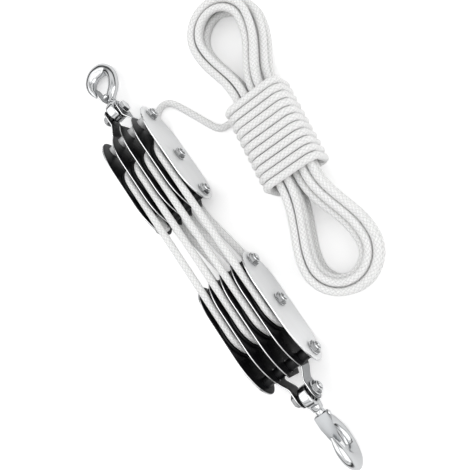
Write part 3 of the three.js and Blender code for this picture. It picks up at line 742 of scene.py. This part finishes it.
def ellipse(centre, reach, half, start, stop, steps=40):
    result = []
    for k in range(steps + 1):
        angle = start + (stop - start) * k / steps
        result.append((centre + reach * math.cos(angle), half * math.sin(angle)))
    return result


def bowed(start, control, stop):
    result, steps = [], 24
    for k in range(steps + 1):
        t = k / steps
        early, middle, late = (1 - t) ** 2, 2 * t * (1 - t), t * t
        result.append(tuple(early * a + middle * b + late * c for a, b, c in zip(start, control, stop)))
    return result


def cheek_outline():
    half = HEIGHT / 2
    hook = ellipse(FLAT_HOOK, CHEEK_HOOK - FLAT_HOOK, half, -math.pi / 2, math.pi / 2)
    tail = ellipse(-FLAT_TAIL, CHEEK_TAIL - FLAT_TAIL, half, math.pi / 2, 1.5 * math.pi)
    return hook + tail


def tail_outline():
    half, end = HEIGHT / 2, TAIL_END_WIDTH / 2
    shoulder = FLAT_TAIL + SHOULDER * (PLATE_TAIL - FLAT_TAIL)
    first = bowed((-FLAT_TAIL, half), (-shoulder, half), (-PLATE_TAIL, end))
    second = bowed((-PLATE_TAIL, -end), (-shoulder, -half), (-FLAT_TAIL, -half))
    return first + second


def middle_outline():
    half, end = HEIGHT / 2, HOOK_END_WIDTH / 2
    shoulder = FLAT_HOOK + SHOULDER * (PLATE_HOOK - FLAT_HOOK)
    first = bowed((FLAT_HOOK, -half), (shoulder, -half), (PLATE_HOOK, -end))
    second = bowed((PLATE_HOOK, end), (shoulder, half), (FLAT_HOOK, half))
    return first + second + tail_outline()


def ear_outline():
    half, end = HEIGHT / 2, EAR_WIDTH / 2
    shoulder = FLAT_HOOK + SHOULDER * (JOGGLE[0] - FLAT_HOOK)
    first = bowed((FLAT_HOOK, -half), (shoulder, -half), (JOGGLE[0], -end))
    tip = ellipse(PIN_REACH, end, end, -math.pi / 2, math.pi / 2)
    second = bowed((JOGGLE[0], end), (shoulder, half), (FLAT_HOOK, half))
    return first + tip + second + tail_outline()


def plate_piece(context, name, block, outline, holes, x, finishes, joggle=0):
    """A flat plate with round holes. Finishes: left face, right face, cut edge, its rounding, ear."""
    edge = context.scene.hoist_sizes.plate_edge / MM
    bm = bmesh.new()
    loops = [outline]
    for radius, y in holes:
        loops.append([(y + a, b) for a, b in ellipse(0, radius, radius, 0, 2 * math.pi, 32)[:-1]])
    edges = []
    for loop in loops:
        spots = [p for k, p in enumerate(loop) if math.dist(p, loop[k - 1]) > 0.01]
        verts = [bm.verts.new((x - THICKNESS / 2, y, z)) for y, z in spots]
        edges += [bm.edges.new((verts[k - 1], verts[k])) for k in range(len(verts))]
    bmesh.ops.triangle_fill(bm, edges=edges, use_beauty=True)
    grown = bmesh.ops.extrude_face_region(bm, geom=bm.faces[:])["geom"]
    raised = [v for v in grown if isinstance(v, bmesh.types.BMVert)]
    bmesh.ops.translate(bm, verts=raised, vec=(THICKNESS, 0, 0))
    bmesh.ops.recalc_face_normals(bm, faces=bm.faces)
    first, last = JOGGLE
    if joggle:
        for k in range(JOGGLE_CUTS + 1):
            y = first + (last - first) * k / JOGGLE_CUTS
            everything = bm.verts[:] + bm.edges[:] + bm.faces[:]
            bmesh.ops.bisect_plane(bm, geom=everything, plane_co=(0, y, 0), plane_no=(0, 1, 0))
    for face in bm.faces:
        if abs(face.normal.x) < FACE_ON:
            face.material_index = 2
        else:
            face.material_index = 1 if face.normal.x > 0 else 0
        beyond = min(v.co.y for v in face.verts) > first - 0.1
        if joggle and beyond and face.normal.x * joggle > FACE_ON:
            face.material_index = 4
    rims = [e for e in bm.edges if len(e.link_faces) == 2 and e.calc_face_angle() > 1.2]
    rims = [e for e in rims if len({abs(f.normal.x) > FACE_ON for f in e.link_faces}) == 2]
    bmesh.ops.bevel(bm, geom=rims, offset=edge, segments=3, profile=0.5, affect="EDGES", material=3)
    if joggle:
        shift = joggle * (EAR_SPREAD - PITCH)
        for vert in bm.verts:
            share = min(max((vert.co.y - first) / (last - first), 0), 1)
            vert.co.x += shift * (JOGGLE_EASE * smooth(share, 0, 1) + (1 - JOGGLE_EASE) * share)
    bm.transform(block_place(block))
    finished(bm, f"{name}_plate", f"{block}_block", finishes, [name], 40)


class HOIST_OT_plates(bpy.types.Operator):
    """Adds the five plates of each block"""

    bl_idname = "hoist.plates"
    bl_label = "Plates"

    def execute(self, context):
        colours = context.scene.hoist_colours
        bright, inner_painted_shade, edge = cheek_finish(colours), painted_shade_finish(colours), edge_finish(colours)
        ear = latch_finish(colours)
        bolt, tube, sleeve = BOLT_RADIUS + GAP, SPACER_RADIUS + GAP, SLEEVE_RADIUS + GAP
        outer = [(bolt, HOOK_BOLT), (bolt, 0), (bolt, -TAIL_BOLT)]
        inner = [(tube, HOOK_BOLT), (sleeve, 0), (tube, -TAIL_BOLT)]
        eared = [*inner, (bolt, PIN_REACH)]
        # Faces inside the block, and the inner plates' roundings, take the black as painted shade; the
        # cheeks' outer faces keep the bright sheet
        left, middle, right = [bright, inner_painted_shade, edge, edge], [inner_painted_shade, inner_painted_shade, edge, inner_painted_shade], [inner_painted_shade, bright, edge, edge]
        for block in SIDE:
            for name, outline, holes, place, finishes, slot, joggle in (
                ("cheek_left", cheek_outline(), outer, -2, left, "cheek", 0),
                ("cheek_right", cheek_outline(), outer, 2, right, "cheek", 0),
                ("plate_3", middle_outline(), inner, 0, middle, "inner_plate", 0),
                ("plate_2", ear_outline(), eared, -1, [*middle, ear], "ear_plate", -1),
                ("plate_4", ear_outline(), eared, 1, [*middle, ear], "ear_plate", 1),
            ):
                x = place * PITCH
                plate_piece(context, f"{block}_{name}", block, outline, holes, x, finishes, joggle)
        return {"FINISHED"}


# Sheaves, bolts, nuts and tubes


def lathed(bm, profile, place=None, steps=LATHE_STEPS):
    """Turns a closed profile of (radius, place along X) about X, then puts it in its place."""
    before = set(bm.verts)
    verts = [bm.verts.new((x, 0, r)) for r, x in profile]
    edges = [bm.edges.new((verts[n - 1], verts[n])) for n in range(len(verts))]
    bmesh.ops.spin(
        bm, geom=verts + edges, cent=(0, 0, 0), axis=(1, 0, 0), angle=2 * math.pi, steps=steps, use_merge=True
    )
    if place:
        made = [vert for vert in bm.verts if vert not in before]
        bmesh.ops.transform(bm, matrix=place, verts=made)


def wheel_profile():
    """A sheave's section: bore, dished web and rim of one side, the rope's bed, then the other side."""
    half, rim, groove, bore = WHEEL_HALF, WHEEL_RIM, GROOVE_RADIUS, SLEEVE_RADIUS + GAP
    flank = [
        (bore, -half + 0.3),
        (bore + 0.3, -half),
        (9, -half),
        (9.5, -half + 0.6),
        (13, -half + 0.6),
        (13.5, -half),
        (rim - 0.5, -half),
        (rim - 0.15, -half + 0.15),
        (rim, -half + 0.5),
        (rim, -groove - 0.4),
        (rim - 0.4, -groove),
    ]
    bed = []
    for k in range(17):
        angle = k * math.pi / 16
        bed.append((TURN_RADIUS - groove * math.sin(angle), -groove * math.cos(angle)))
    return flank + bed + [(r, -x) for r, x in reversed(flank)]


class HOIST_OT_sheaves(bpy.types.Operator):
    """Adds the eight grooved wheels"""

    bl_idname = "hoist.sheaves"
    bl_label = "Sheaves"

    def execute(self, context):
        steps = context.scene.hoist_sizes.wheel_steps
        finish = sheave_finish(context.scene.hoist_colours)
        for block in SIDE:
            for k in SHEAVES:
                name = f"{block}_sheave_{k}"
                bm = bmesh.new()
                lathed(bm, wheel_profile(), steps=steps)
                outward(bm, 1e-4)
                bm.transform(block_place(block) @ Matrix.Translation((sheave_x(k), 0, 0)))
                bmesh.ops.recalc_face_normals(bm, faces=bm.faces)
                finished(bm, f"{name}_wheel", name, [finish], [name], 40)
        return {"FINISHED"}


def broken(bm, edges, width):
    bmesh.ops.bevel(bm, geom=edges, offset=width, segments=2, profile=0.5, affect="EDGES", material=-1)


def hex_prism(bm, low, high, chamfer):
    """A six-sided bar along X with the edges of its outer end and its corners broken."""
    radius = HEX_ACROSS / math.sqrt(3)
    made = bmesh.ops.create_cone(
        bm, cap_ends=True, segments=6, radius1=radius, radius2=radius, depth=high - low
    )["verts"]
    turn = Matrix.Translation(((low + high) / 2, 0, 0)) @ Matrix.Rotation(math.pi / 2, 4, "Y")
    bmesh.ops.transform(bm, matrix=turn, verts=made)
    edges = {edge for vert in made for edge in vert.link_edges}
    tops = [e for e in edges if all(w.co.x > high - 1e-4 for w in e.verts)]
    upright = {e for e in edges if abs(e.verts[0].co.x - e.verts[1].co.x) > 0.1}
    broken(bm, tops, chamfer)
    upright = [e for e in bm.edges if e.is_valid and e in upright]
    if upright:
        broken(bm, upright, CORNER_CHAMFER)


def flange(inner, face):
    """The profile of the thin round base that a head or nut presses with."""
    rim, top = FLANGE_RADIUS, face + FLANGE_HEIGHT
    outside = [(rim - 0.1, face), (rim, face + 0.1), (rim, face + 0.7), (rim - 0.7, top)]
    return [(inner, face), *outside, (inner, top)]


def fastener_piece(context, bm, block, name, side, y):
    """Puts a head or nut, made about +X, on its side of the block, with its flats in the second finish, a
    painted dark reflection.
    """
    turn = Matrix.Identity(4) if side > 0 else Matrix.Rotation(math.pi, 4, "Z")
    bm.transform(block_place(block) @ Matrix.Translation((0, y, 0)) @ turn)
    outward(bm, 1e-7)
    for face in bm.faces:
        face.material_index = 1 if abs(face.normal.x) < FLAT_ON else 0
    colours = context.scene.hoist_colours
    finishes = [fastener_finish(colours), painted_dark_flats_finish(colours)]
    finished(bm, f"{block}_{name}_bright", f"{block}_block", finishes, [f"{block}_{name}"])


def bolt_piece(context, block, name, grip, side, y):
    """Hex head on one side, shank, and the bare end that stands out of the nut."""
    face = grip + GAP
    end = face + NUT_HEIGHT + END_PAST_NUT
    bm = bmesh.new()
    hex_prism(bm, face, face + HEAD_HEIGHT, HEAD_CHAMFER)
    lathed(bm, flange(BOLT_RADIUS - 0.1, face))
    shank = [
        (0.001, -end),
        (BOLT_RADIUS - 0.5, -end),
        (BOLT_RADIUS, -end + 0.5),
        (BOLT_RADIUS, face + 0.5),
        (0.001, face + 0.5),
    ]
    lathed(bm, shank, steps=32)
    fastener_piece(context, bm, block, name, side, y)


def nut_piece(context, block, name, grip, side, y):
    """A lock nut: six flats with a round collar beyond them."""
    face, inner = grip + GAP, BOLT_RADIUS + 0.15
    top = face + NUT_HEIGHT
    bm = bmesh.new()
    hex_prism(bm, face, face + NUT_HEX_HEIGHT, NUT_CHAMFER)
    lathed(bm, flange(inner, face))
    collar = [
        (inner, face + 3),
        (4.55, face + 3),
        (4.55, face + 4.3),
        (4.2, face + 4.8),
        (3.9, top),
        (inner + 0.3, top),
        (inner, face + 4.6),
    ]
    lathed(bm, collar)
    fastener_piece(context, bm, block, name, side, y)


def tube_piece(block, name, radius, y, finish):
    """A plain tube on a bolt, between the cheeks."""
    inside = 2 * PITCH - THICKNESS / 2 - GAP
    bore = BOLT_RADIUS + GAP
    bm = bmesh.new()
    wall = [(bore, -inside), (radius, -inside), (radius, inside), (bore, inside)]
    lathed(bm, wall)
    bm.transform(block_place(block) @ Matrix.Translation((0, y, 0)))
    outward(bm, 1e-7)
    finished(bm, f"{block}_{name}_tube", f"{block}_block", [finish], [f"{block}_{name}"])


class HOIST_OT_fasteners(bpy.types.Operator):
    """Adds the bolts, lock nuts, spacer tubes and sleeves"""

    bl_idname = "hoist.fasteners"
    bl_label = "Bolts, nuts and tubes"

    def execute(self, context):
        colours = context.scene.hoist_colours
        satin, dark = tube_finish(colours), painted_shade_finish(colours)
        grip, ear_grip = 2 * PITCH + THICKNESS / 2, EAR_SPREAD + THICKNESS / 2
        stations = (
            ("hook_end", HOOK_BOLT, SPACER_RADIUS, "spacer"),
            ("axle", 0, SLEEVE_RADIUS, "sleeve"),
            ("tail", -TAIL_BOLT, SPACER_RADIUS, "spacer"),
        )
        for block, pin_side in SIDE.items():
            for place, y, radius, tube in stations:
                bolt_piece(context, block, f"{place}_bolt", grip, -1, y)
                nut_piece(context, block, f"{place}_nut", grip, 1, y)
                # Painted shade: every tube but the upper hook-end spacer gets the black finish; that spacer
                # keeps the bright satin plated finish
                finish = satin if place == "hook_end" and block == "upper" else dark
                tube_piece(block, f"{place}_{tube}", radius, y, finish)
            bolt_piece(context, block, "hook_pin", ear_grip, pin_side, PIN_REACH)
            nut_piece(context, block, "hook_pin_nut", ear_grip, -pin_side, PIN_REACH)
        return {"FINISHED"}


# Hooks


def hook_body(block):
    """The forged hook, swept along its centre line, with its riveted shank."""
    rows = [[share * HOOK_REACH for share in line] for line in HOOK_ROWS]
    path = [Vector((w, t, 0)) for w, t, _, _ in rows]
    sizes = [Vector((a, b, 0)) for _, _, a, b in rows]
    steps, last = 110, len(rows) - 1
    points = [catmull(path, last * k / steps) for k in range(steps + 1)]
    halves = [catmull(sizes, last * k / steps) for k in range(steps + 1)]
    tip, ahead = points[-1], (points[-1] - points[-2]).normalized()
    for k in range(1, 6):
        angle = k * math.pi / 2 / 5.4
        points.append(tip + ahead * 1.1 * math.sin(angle))
        halves.append(halves[steps] * math.cos(angle))
    bm = bmesh.new()
    swept(bm, points, lambda k: (halves[k].x, halves[k].y), 28)
    wide, narrow, neck = SHANK_HEAD_RADIUS, SHANK_RADIUS, rows[0][1]
    head = EYE_PLACE + math.sqrt(EYE_RADIUS**2 - wide**2) - GAP
    shank = [
        (0.001, head - 1.9),
        (wide - 0.4, head - 1.9),
        (wide, head - 1.5),
        (wide, head - 0.3),
        (wide - 0.3, head),
        (narrow, head),
        (narrow, neck + 1),
        (0.001, neck + 1),
    ]
    lathed(bm, shank, Matrix.Rotation(math.pi / 2, 4, "Z"), 32)
    bm.transform(hook_place(block))
    outward(bm, 1e-8)
    return bm


def eye_body(block):
    """The swivel eye: a rounded ring on the pin with a collar for the hook's shank."""
    bm = bmesh.new()
    low, high, half, r = EYE_RADIUS, EYE_RADIUS + EYE_WALL, EYE_HALF, EYE_ROUNDING
    ring = []
    outer, inner, side = high - r, low + r, half - r
    corners = ((side, outer, 0), (side, inner, 90), (-side, inner, 180), (-side, outer, 270))
    for x, radius, start in corners:
        for k in range(6):
            angle = math.radians(start + k * 18)
            ring.append((radius + r * math.cos(angle), x + r * math.sin(angle)))
    lathed(bm, ring, Matrix.Translation((0, EYE_PLACE, 0)), 56)
    start, end, bore = EYE_PLACE + EYE_RADIUS + 1, COLLAR_END, COLLAR_BORE
    collar = [
        (bore, start),
        (5.7, start),
        (5.6, start + 1.4),
        (5.2, start + 3),
        (5, end - 0.6),
        (4.5, end),
        (bore + 0.4, end),
        (bore, end - 0.4),
    ]
    lathed(bm, collar, Matrix.Rotation(math.pi / 2, 4, "Z"))
    bm.transform(eye_place(block))
    outward(bm, 1e-8)
    return bm


def latch_body(block):
    """The folded latch, from its solid, with its edges broken."""
    bm = bmesh.new()
    bm.from_mesh(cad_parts[f"{block}_hook_latch"].data)
    bmesh.ops.remove_doubles(bm, verts=bm.verts, dist=0.02 * MM)
    bmesh.ops.dissolve_limit(bm, angle_limit=math.radians(1), verts=bm.verts, edges=bm.edges)
    bmesh.ops.recalc_face_normals(bm, faces=bm.faces)
    edges = [e for e in bm.edges if len(e.link_faces) == 2 and e.calc_face_angle(0) > 0.9]
    edges = [e for e in edges if e.calc_length() > 0.9 * MM]
    bmesh.ops.bevel(
        bm, geom=edges, offset=0.22 * MM, segments=2, profile=0.5, affect="EDGES", material=-1,
        clamp_overlap=True,
    )
    return bm


def rivet_body(block):
    """The latch's pivot, with a low round head on each side."""
    bm = bmesh.new()
    face = LATCH_HALF + GAP
    profile = [(0.001, -face - 0.9), (1.2, -face - 0.9), (2.1, -face - 0.6), (2.5, -face), (1.4, -face)]
    profile += [(r, -x) for r, x in reversed(profile)]
    turn = Matrix.Translation((*LATCH_PIVOT, 0)) @ Matrix.Rotation(math.pi / 2, 4, "Y")
    lathed(bm, profile, turn, 28)
    bm.transform(hook_place(block))
    outward(bm, 1e-8)
    return bm


class HOIST_OT_hooks(bpy.types.Operator):
    """Adds both swivel hooks with their eyes, latches and rivets"""

    bl_idname = "hoist.hooks"
    bl_label = "Hooks"

    def execute(self, context):
        colours = context.scene.hoist_colours
        chrome, sheet, plated = chrome_finish(colours), latch_finish(colours), fastener_finish(colours)
        for block in SIDE:
            for made, name, body, slot, finish, node, sharp in (
                (hook_body, "hook_forging", "hook", "hook", chrome, "hook", 45),
                (eye_body, "eye_forging", "eye", "hook", chrome, "hook_eye", SHARP),
                (latch_body, "latch_sheet", "latch", "latch", sheet, "hook_latch", SHARP),
                (rivet_body, "latch_rivet_bright", "hook", "fastener", plated, "latch_rivet", SHARP),
            ):
                nodes = [f"{block}_{node}"]
                finished(made(block), f"{block}_{name}", f"{block}_{body}", [finish], nodes, sharp)
        return {"FINISHED"}


# Camera, floor and light


def add_camera(scene):
    lens = bpy.data.cameras.new("camera")
    lens.lens = scene.hoist_sizes.focal_length
    lens.sensor_width = SENSOR_WIDTH
    lens.clip_start = 0.01
    camera = bpy.data.objects.new("camera", lens)
    turn = Matrix((CAMERA_RIGHT, CAMERA_UP, CAMERA_BACK)).transposed().to_4x4()
    scene.collection.objects.link(camera)
    camera.matrix_world = Matrix.Translation(CAMERA_PLACE * MM) @ turn
    scene.camera = camera


def add_floor(scene):
    """A pale floor that glows for the camera alone, so that it stays white behind the piece."""
    bm = bmesh.new()
    bmesh.ops.create_grid(bm, x_segments=1, y_segments=1, size=FLOOR_HALF)
    mesh = bpy.data.meshes.new("floor")
    bm.to_mesh(mesh)
    bm.free()
    floor = bpy.data.objects.new("floor", mesh)
    scene.collection.objects.link(floor)
    material, tree, shader = plain("pale floor", scene.hoist_colours.floor, 0.9, 0)
    shader.inputs["Specular IOR Level"].default_value = 0.1
    seen = node_of(tree, "ShaderNodeLightPath")
    shader.inputs["Emission Color"].default_value = (1, 1, 1, 1)
    glow = maths(tree, "MULTIPLY", seen.outputs["Is Camera Ray"], FLOOR_GLOW)
    tree.links.new(glow, shader.inputs["Emission Strength"])
    mesh.materials.append(material)


def background(tree, strength):
    node = node_of(tree, "ShaderNodeBackground")
    node.inputs["Color"].default_value = (1, 1, 1, 1)
    node.inputs["Strength"].default_value = strength
    return node


def add_world(scene):
    """Plain light, white for the camera, and a wall of dark and light bands for mirrored rays."""
    world = bpy.data.worlds.new("studio")
    world.use_nodes = True
    scene.world = world
    tree = world.node_tree
    tree.nodes.clear()
    light, seen, mirrored = background(tree, DAYLIGHT), background(tree, 1), background(tree, 1)
    way = node_of(tree, "ShaderNodeTexCoord")
    parts = node_of(tree, "ShaderNodeSeparateXYZ")
    tree.links.new(way.outputs["Generated"], parts.inputs[0])
    wall = node_of(tree, "ShaderNodeValToRGB")
    stops = wall.color_ramp.elements
    for stop, tone in zip(stops, WALL_ENDS):
        stop.color = (tone, tone, tone, 1)
    for place, tone in WALL_TONES:
        stop = stops.new(place)
        stop.color = (tone, tone, tone, 1)
    tree.links.new(parts.outputs[2], wall.inputs[0])
    tree.links.new(wall.outputs[0], mirrored.inputs["Color"])
    path = node_of(tree, "ShaderNodeLightPath")
    either = maths(tree, "MAXIMUM", path.outputs["Is Camera Ray"], path.outputs["Is Transmission Ray"])
    mix = node_of(tree, "ShaderNodeMixShader")
    shine = node_of(tree, "ShaderNodeMixShader")
    out = node_of(tree, "ShaderNodeOutputWorld")
    tree.links.new(either, mix.inputs[0])
    tree.links.new(light.outputs[0], mix.inputs[1])
    tree.links.new(seen.outputs[0], mix.inputs[2])
    tree.links.new(path.outputs["Is Glossy Ray"], shine.inputs[0])
    tree.links.new(mix.outputs[0], shine.inputs[1])
    tree.links.new(mirrored.outputs[0], shine.inputs[2])
    tree.links.new(shine.outputs[0], out.inputs[0])


def add_lamps(scene):
    for name, place, size, power in LAMPS:
        lamp = bpy.data.lights.new(name, "AREA")
        lamp.size = size
        lamp.energy = power
        holder = bpy.data.objects.new(name, lamp)
        holder.location = place
        holder.rotation_euler = (LAMP_TARGET - Vector(place)).to_track_quat("-Z", "Y").to_euler()
        scene.collection.objects.link(holder)


class HOIST_OT_stage(bpy.types.Operator):
    """Adds the camera, the pale floor and the soft studio light"""

    bl_idname = "hoist.stage"
    bl_label = "Stage"

    def execute(self, context):
        scene = context.scene
        add_camera(scene)
        add_floor(scene)
        add_world(scene)
        add_lamps(scene)
        scene.view_settings.view_transform = "Standard"
        return {"FINISHED"}


class HOIST_PT_panel(bpy.types.Panel):
    """Lists the steps that build the hoist"""

    bl_idname = "HOIST_PT_panel"
    bl_label = "Rope hoist"
    bl_space_type = "VIEW_3D"
    bl_region_type = "UI"
    bl_category = "Hoist"

    def draw(self, context):
        for group in (context.scene.hoist_sizes, context.scene.hoist_colours):
            for name in group.__annotations__:
                self.layout.prop(group, name)
        for operator in OPERATORS:
            self.layout.operator(operator.bl_idname)


OPERATORS = (
    HOIST_OT_stage,
    HOIST_OT_free_rope,
    HOIST_OT_reeved_rope,
    HOIST_OT_plates,
    HOIST_OT_sheaves,
    HOIST_OT_fasteners,
    HOIST_OT_hooks,
)
CLASSES = (HOIST_PG_sizes, HOIST_PG_colours, *OPERATORS, HOIST_PT_panel)


def register():
    for cls in CLASSES:
        bpy.utils.register_class(cls)
    bpy.types.Scene.hoist_sizes = PointerProperty(type=HOIST_PG_sizes)
    bpy.types.Scene.hoist_colours = PointerProperty(type=HOIST_PG_colours)


def unregister():
    del bpy.types.Scene.hoist_colours
    del bpy.types.Scene.hoist_sizes
    for cls in reversed(CLASSES):
        bpy.utils.unregister_class(cls)


def main():
    register()
    bpy.ops.hoist.stage()
    bpy.ops.hoist.free_rope()
    bpy.ops.hoist.reeved_rope()
    bpy.ops.hoist.plates()
    bpy.ops.hoist.sheaves()
    bpy.ops.hoist.fasteners()
    bpy.ops.hoist.hooks()


if __name__ == "__main__":
    main()
